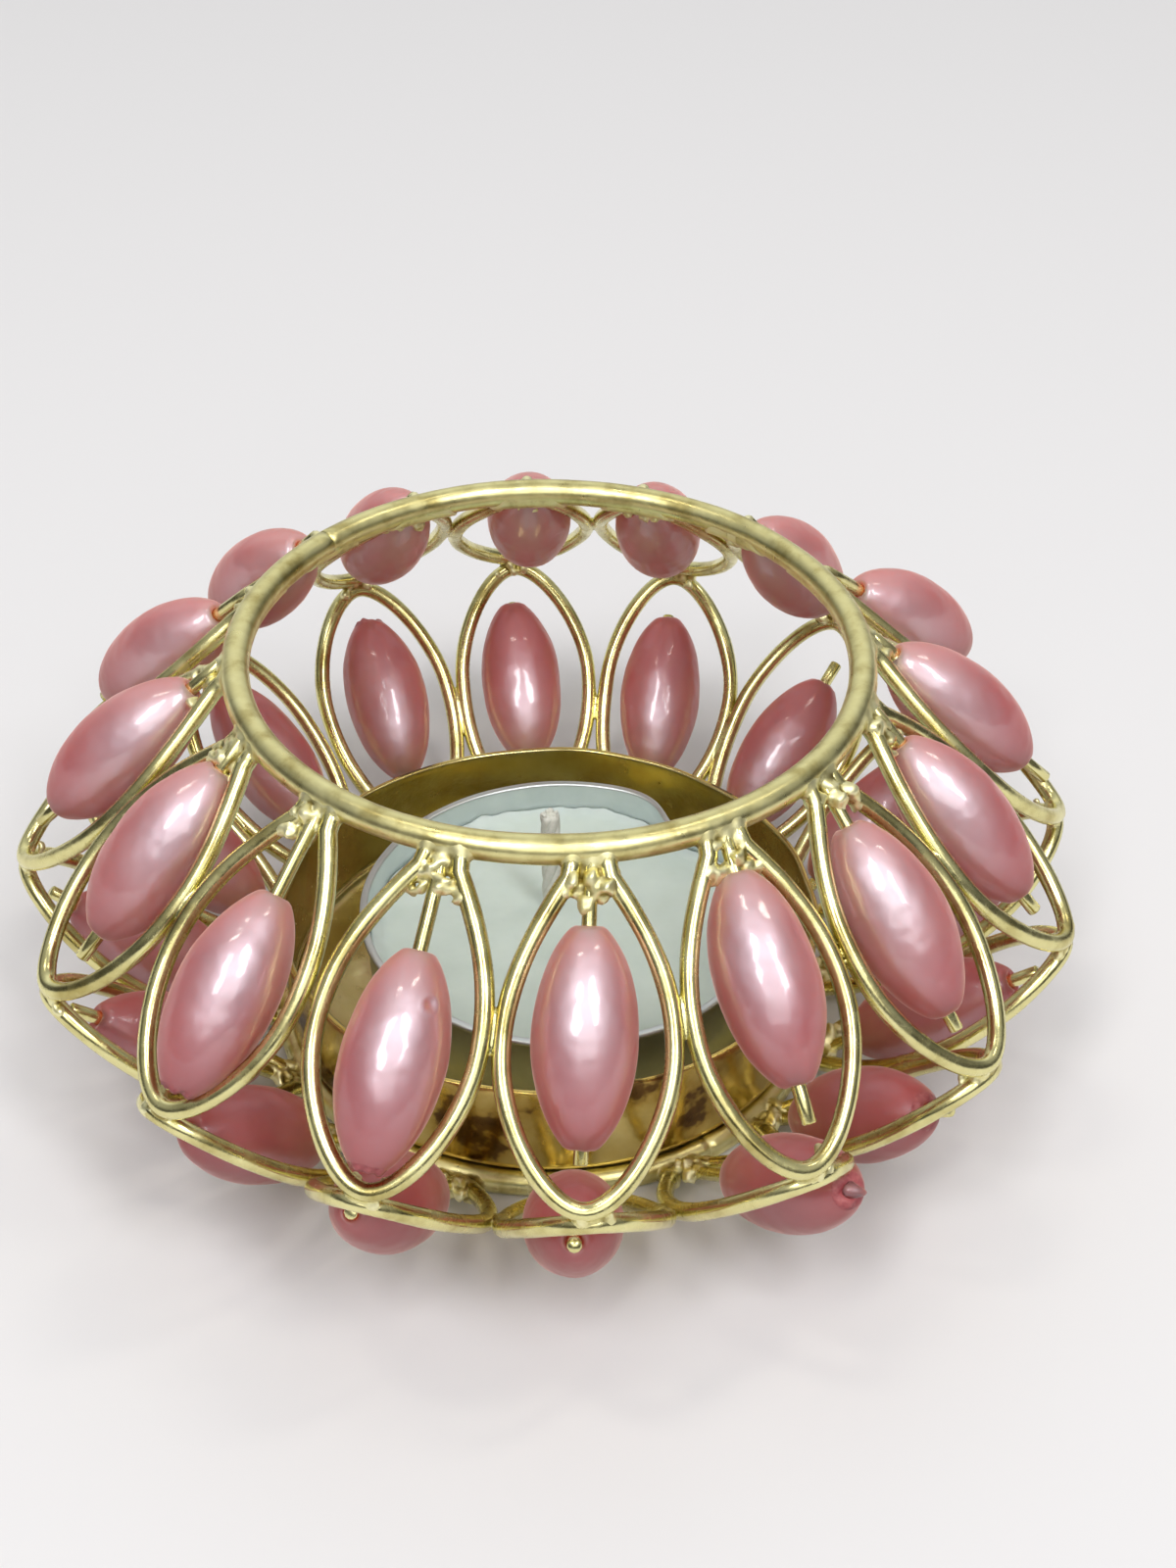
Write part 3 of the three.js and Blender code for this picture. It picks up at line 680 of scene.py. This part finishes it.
def bead_profile(steps):
    """Long oval with flat drilled ends, as [radius, place along the axis]."""
    end = math.sqrt(1 - (BEAD_END_RADIUS / BEAD_RADIUS) ** (1 / BEAD_FULLNESS))
    places = np.sin(np.linspace(-math.asin(end), math.asin(end), steps))
    radii = BEAD_RADIUS * (1 - places ** 2) ** BEAD_FULLNESS
    half = BEAD_LENGTH / 2
    outer = [(r, half * p / end) for r, p in zip(radii, places)]
    low = [(BEAD_BORE, -half + BORE_DEPTH), (BEAD_BORE, -half + CHAMFER_DEPTH),
           (BEAD_BORE + BEAD_CHAMFER, -half), (BEAD_END_RADIUS - BEAD_CHAMFER, -half)]
    high = [(r, -z) for r, z in reversed(low)]
    return [*low, *outer[1:-1], *high]


def bead_piece(tier, plan, index, pin, seed):
    """A drilled bead at its place on its pin; some have a torn end, a nub or a pit."""
    slide, turn, lean, _ = pin
    heading = plan.direction(turn, lean)
    half = BEAD_LENGTH / 2
    first, last = BEAD_STANDOFF + half, plan.length - PETAL_WIRE / 2 - BEAD_TIP_GAP - half
    middle = foot(tier, index) + heading * (first + (last - first) * slide)
    side = np.cross(heading, [0, 1, 0])
    side /= np.linalg.norm(side)
    axes = np.array([side, np.cross(heading, side), heading])
    fine = 2 if (tier, index) in PITS else 1
    points, faces = lathe(bead_profile(BEAD_RINGS * fine), BEAD_SIDES * fine)
    uneven = 1 + BEAD_SWELL * waves(points, seed, 9) + BEAD_RIPPLE * waves(points, seed + 50, 3.2)
    ends = np.clip((points[:, 2] - half + BEAD_END_ZONE) / BEAD_END_ZONE, 0, 1)
    # 'outer' runs from the inner to the outer end and starts deeper on the lower tier: painted shade for the
    # pearl
    inner_shade = LOWER_SHADE if tier == "lower" else 0
    outer = inner_shade + (1 - inner_shade) * (points[:, 2] / half + 1) / 2
    torn = (tier, index) in TORN_ENDS
    points = points * np.column_stack([uneven, uneven, np.ones(len(points))])
    points[:, 2] += ends * (TORN_ROUGHNESS if torn else SOUND_ROUGHNESS) * waves(points, seed + 90, 1.3)
    if (tier, index) in PITS:
        height, bearing, radius, size, depth = PITS[tier, index]
        bearing = math.radians(bearing)
        pit = radius * math.cos(bearing), radius * math.sin(bearing), height
        away = np.linalg.norm(points - pit, axis=1) / size
        hollow = np.exp(-away ** 4) - PIT_LIP * bell(away - PIT_LIP_PLACE, PIT_LIP_WIDTH)
        points[:, :2] -= from_axis(points) * (depth * hollow)[:, None]
    rough = [int(torn and min(points[i, 2] for i in face) > half - BEAD_END_ZONE) for face in faces]
    shells = [(points, faces, rough)]
    if (tier, index) in NUBS:
        nub, nub_faces = sweep(NUBS[tier, index], NUB_RADII, 12)
        shells.append((nub, nub_faces, 0))
        outer = np.concatenate([outer, np.ones(len(nub))])
    shells = [(turned(middle + shell @ axes, index), *rest) for shell, *rest in shells]
    node = f"{tier}_bead_{index + 1:02d}"
    piece(node, shells, [PEARL, TORN], "holder", [node], outer)


for i in range(PETALS):
    petal_piece(i)
    bead_piece("upper", UPPER, i, UPPER_PINS[i], UPPER_BEAD_SEED + i)
    bead_piece("lower", LOWER, i, LOWER_PINS[i], LOWER_BEAD_SEED + i)


# Brazed touches between neighbouring petals
def touch_piece(tier, plan, sways):
    """Small fillets of brazing metal where each petal's shoulder meets its neighbour's."""
    shells = []
    for i in range(PETALS):
        pair = (i, (i + 1) % PETALS)
        here, there = (turned(plan.loop(sways.get(k, NO_SWAY), loop_seed(tier, k)), k) for k in pair)
        left, right = here[: len(here) // 2], there[len(there) // 2:]
        gaps = np.linalg.norm(left[:, None] - right[None], axis=2)
        a, b = np.unravel_index(gaps.argmin(), gaps.shape)
        middle = (left[a] + right[b]) / 2
        wires = [lambda p, path=near(line, middle, TOUCH_LOOK): wire_field(p, path, PETAL_WIRE / 2)
                 for line in (left, right)]
        shells.append((*braze(wires, middle, TOUCH_REACH, [], TOUCH_FILLET, 0, TOUCH_SEED + i), 0))
    piece(f"{tier}_touch_brazing", shells, [WIRE], "holder")


touch_piece("upper", UPPER, UPPER_SWAYS)
touch_piece("lower", LOWER, LOWER_SWAYS)


# Drip pan
def pan_shape(points):
    """Soft dents in the wall, fading out towards the floor."""
    dents = waves(points, PAN_SEED, 11)
    lift = np.clip((points[:, 2] - PAN_FLOOR) / PAN_DEPTH, 0, 1)
    moved = points.copy()
    moved[:, :2] += from_axis(points) * (PAN_DENTS * dents * np.clip(lift * 4, 0, 1))[:, None]
    return moved


top, inner = PAN_FLOOR + PAN_DEPTH, PAN_FLOOR + PAN_SHEET
wall_foot, wall_height = PAN_FLOOR + PAN_FOOT_ROOM, PAN_DEPTH - PAN_FOOT_ROOM - PAN_EDGE_ROOM
wall = [(PAN_FOOT + (PAN_RIM - PAN_FOOT) * t, wall_foot + wall_height * t, 0) for t in np.linspace(0, 1, 9)]
inner_wall = [(r - PAN_SHEET, z, 0) for r, z, _ in reversed(wall)]
floor_out = [(r, PAN_FLOOR, 0) for r in PAN_RINGS]
floor_in = [(r, inner, 0) for r in reversed(PAN_RINGS)]
pan_profile = rounded(
    [*floor_out, (PAN_FOOT, PAN_FLOOR, PAN_FOOT_FILLET), *wall,
     (PAN_RIM + PAN_FLARE, top, PAN_EDGE_FILLET), (PAN_RIM - PAN_SHEET, top, PAN_EDGE_FILLET),
     *inner_wall, (PAN_FOOT - PAN_SHEET, inner, PAN_INNER_FILLET), *floor_in])
pan_points, pan_faces = lathe(pan_profile, PAN_SIDES)
middle_radius, middle_height = (PAN_FOOT + PAN_RIM - PAN_SHEET) / 2, PAN_FLOOR + PAN_SHEET / 2
outside = (np.hypot(pan_points[:, 0], pan_points[:, 1]) > middle_radius) | (pan_points[:, 2] < middle_height)
stained_faces = [int(all(outside[i] for i in face)) for face in pan_faces]
pan_shell = pan_shape(pan_points), pan_faces, stained_faces
piece("drip_pan", [pan_shell], [SHEET, STAINED], "holder", ["drip_pan"])


# Tealight: foil cup, wax and wick
def cup_shape(points):
    """Thumbed foil: uneven lip with a dent at the back right."""
    angle = np.degrees(np.arctan2(points[:, 1], points[:, 0]))
    lift = np.clip(points[:, 2] / CUP_HEIGHT, 0, 1) ** 2
    dent = DENT_DEPTH * bell(angle - DENT_PLACE, DENT_WIDTH)
    uneven = FOIL_WAVER * waves(points, CUP_SEED, 9)
    moved = points.copy()
    moved[:, :2] += from_axis(points) * ((uneven - dent) * lift)[:, None]
    return moved + np.array(CANDLE)


body_top = CUP_LIP_RADIUS - CUP_LIP
body_foot = body_top - CUP_TAPER
lip_foot = CUP_HEIGHT - CUP_LIP
cup_rise = CUP_HEIGHT - CUP_FOOT_ROOM - CUP_LIP_ROOM
cup_wall = [(body_foot + CUP_TAPER * t, CUP_FOOT_ROOM + cup_rise * t, 0) for t in np.linspace(0, 1, 8)]
cup_inner = [(r - CUP_SHEET, z, 0) for r, z, _ in reversed(cup_wall)]
cup_profile = rounded(
    [(0, 0, 0), (CUP_RING, 0, 0), (body_foot, 0, CUP_FOOT_ROOM), *cup_wall,
     (body_top, lip_foot, 0.12), (CUP_LIP_RADIUS, lip_foot, 0.2),
     (CUP_LIP_RADIUS, CUP_HEIGHT, 0.24), (body_top - CUP_SHEET, CUP_HEIGHT, 0.24),
     *cup_inner, (body_foot - CUP_SHEET, CUP_SHEET, 0.7), (CUP_RING, CUP_SHEET, 0), (0, CUP_SHEET, 0)])
cup_points, cup_faces = lathe(cup_profile, CUP_SIDES)
piece("tealight_cup", [(cup_shape(cup_points), cup_faces, 0)], [FOIL], "tealight", ["tealight_cup"])


def wax_shape(points):
    """Wax set with a low meniscus at the wall and a soft rise round the wick."""
    moved = points.copy()
    on_top = points[:, 2] > WAX_HEIGHT - 0.5
    radius = np.linalg.norm(points[:, :2], axis=1)
    to_wick = np.linalg.norm(points[:, :2] - np.array(WICK_PLACE), axis=1)
    climb = WAX_CLIMB + 0.25 * waves(points, WAX_SEED + 1, 6) + 0.2 * waves(points, WAX_SEED + 2, 2.4)
    rise = climb * bell(radius - WAX_EDGE, WAX_CLIMB_WIDTH)
    rise += WICK_CLIMB * bell(to_wick, WICK_CLIMB_WIDTH) - WAX_DIP * bell(to_wick, WAX_DIP_WIDTH)
    moved[:, 2] += np.where(on_top, rise + WAX_WAVER * waves(points, WAX_SEED, 8), 0)
    shaped = cup_shape(moved)
    dented = np.clip((radius - DENT_START) / DENT_FADE, 0, 1)[:, None]
    return shaped * dented + (moved + np.array(CANDLE)) * (1 - dented)


wax_foot = body_foot - CUP_SHEET - WAX_GAP
wax_profile = rounded(
    [(0, WAX_FLOOR, 0), (CUP_RING, WAX_FLOOR, 0), (wax_foot, WAX_FLOOR, 0.7),
     (wax_foot + WAX_TAPER, WAX_HEIGHT, 0.3),
     *[(r, WAX_HEIGHT, 0) for r in np.linspace(17, 0.6, 40)], (0, WAX_HEIGHT, 0)])
wax_points, wax_faces = lathe(wax_profile, CUP_SIDES)
piece("tealight_wax", [(wax_shape(wax_points), wax_faces, 0)], [WAX], "tealight", ["tealight_wax"])


def wick_shells():
    """Waxed cotton cord of five strands, a little frayed at the top."""
    shells = []
    foot_at = np.array([*WICK_PLACE, 0]) + np.array(CANDLE)
    heights = np.linspace(WICK_FOOT, WICK_TOP - FRAY_RISE, 70)
    bend = WICK_BEND * np.clip((heights - BEND_START) / BEND_LENGTH, 0, 1) ** 2
    for strand in range(STRANDS):
        angles = heights * 2 * math.pi / STRAND_PITCH + strand * 2 * math.pi / STRANDS
        across, along = STRAND_OFFSET * np.cos(angles) - bend, STRAND_OFFSET * np.sin(angles)
        path = np.column_stack([across, along, heights])
        shells.append((*sweep(foot_at + path, STRAND_RADIUS, 12), 0))
    random = np.random.default_rng(WICK_SEED)
    rise = np.linspace(0, 1, 6)
    for _ in range(FRAYS):
        turn, reach = random.uniform(0, 2 * math.pi), random.uniform(0.3, 0.75)
        spread = (0.5 + 0.5 * rise ** 2) * reach
        heights = WICK_TOP - FRAY_START + random.uniform(0.7, 1.25) * rise
        path = np.column_stack([spread * math.cos(turn) - WICK_BEND, spread * math.sin(turn), heights])
        shells.append((*sweep(foot_at + path, FRAY_RADIUS, 8, 0.05), 0))
    return shells


piece("tealight_wick", wick_shells(), [COTTON], "tealight", ["tealight_wick"])

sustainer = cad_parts["wick_sustainer"]
sustainer.data.materials.clear()
sustainer.data.materials.append(FOIL)


# Stage, light and camera
def stage_floor():
    """Pale floor: near white to the camera and in reflections, greyer where it sheds light."""
    made, shader = finish("floor", Roughness=0.9, Specular_IOR_Level=0.0)
    rays = made.node_tree.nodes.new("ShaderNodeLightPath").outputs
    seen = rays["Is Camera Ray"]
    for other in ("Is Glossy Ray", "Is Transmission Ray"):
        seen = combined(made, "MAXIMUM", seen, rays[other])
    coloured(made, shader, seen, [(0.0, (0.28, 0.28, 0.28)), (1.0, (0.82, 0.82, 0.82))])
    mesh = bpy.data.meshes.new("floor")
    reach = 3
    corners = [(-reach, -reach, 0), (reach, -reach, 0), (reach, reach, 0), (-reach, reach, 0)]
    mesh.from_pydata(corners, [], [(0, 1, 2, 3)])
    mesh.materials.append(made)
    floor = bpy.data.objects.new("floor", mesh)
    bpy.context.scene.collection.objects.link(floor)


def lamp(name, direction, distance, size, power, colour):
    """Area lamp that faces the object, with lengths in metres and power in watts."""
    data = bpy.data.lights.new(name, "AREA")
    data.shape = "RECTANGLE"
    data.size, data.size_y = size
    data.energy = power
    data.color = colour
    obj = bpy.data.objects.new(name, data)
    target = Vector((0, 0, 0.02))
    obj.location = Vector(direction).normalized() * distance + target
    obj.rotation_euler = (target - obj.location).to_track_quat("-Z", "Y").to_euler()
    bpy.context.scene.collection.objects.link(obj)


stage_floor()
STRIP, SMALL_STRIP = (0.22, 0.58), (0.10, 0.28)
NEUTRAL, WARM = (1.0, 0.98, 1.0), (1.0, 0.92, 0.80)
lamp("front_left", (-0.30, -0.49, 0.81), 1.2, STRIP, 4.7, NEUTRAL)
lamp("front_right", (0.28, -0.49, 0.81), 1.2, STRIP, 4.7, NEUTRAL)
lamp("front_fill", (0.0, -0.84, 0.54), 1.5, (1.1, 0.6), 2.9, (1.0, 0.98, 0.98))
lamp("top_left", (-0.27, 0.10, 0.96), 1.3, SMALL_STRIP, 1.0, WARM)
lamp("top_right", (0.38, 0.15, 0.91), 1.3, SMALL_STRIP, 1.0, WARM)


def studio_dome():
    """Soft light from above and a pale wall behind, dim towards the front horizon."""
    world = bpy.data.worlds.new("studio_dome")
    bpy.context.scene.world = world
    world.use_nodes = True
    nodes, links = world.node_tree.nodes, world.node_tree.links
    background = nodes["Background"]
    settle(background, Color=(0.97, 0.98, 1.0, 1))
    where = nodes.new("ShaderNodeTexCoord").outputs["Generated"]
    above = ((0, 0, 1), (0.2, 0.62, 0.06, 0.38))
    behind = ((0, 0.96, 0.28), (0.55, 0.92, 0.0, 0.6))
    levels = []
    for heading, span in (above, behind):
        height = nodes.new("ShaderNodeVectorMath")
        height.operation = "DOT_PRODUCT"
        height.inputs[1].default_value = heading
        links.new(where, height.inputs[0])
        levels.append(spanned(world, height.outputs["Value"], *span, "SMOOTHSTEP"))
    links.new(combined(world, "ADD", *levels), background.inputs["Strength"])


studio_dome()

lens = bpy.data.cameras.new("camera")
lens.sensor_fit = "VERTICAL"
lens.sensor_height = FILM
lens.lens = FOCAL * FILM / PHOTO_HEIGHT
camera = bpy.data.objects.new("camera", lens)
right = Vector((0.99596, -0.08884, 0.01276))
up = Vector((0.04334, 0.6005, 0.79845))
back = Vector((-0.0786, -0.79467, 0.60193))
view = Matrix((right, up, back)).transposed().to_4x4()
camera.matrix_world = Matrix.Translation([c * MM for c in CAMERA_PLACE]) @ view
bpy.context.scene.collection.objects.link(camera)
bpy.context.scene.camera = camera
bpy.context.scene.view_settings.view_transform = "Standard"
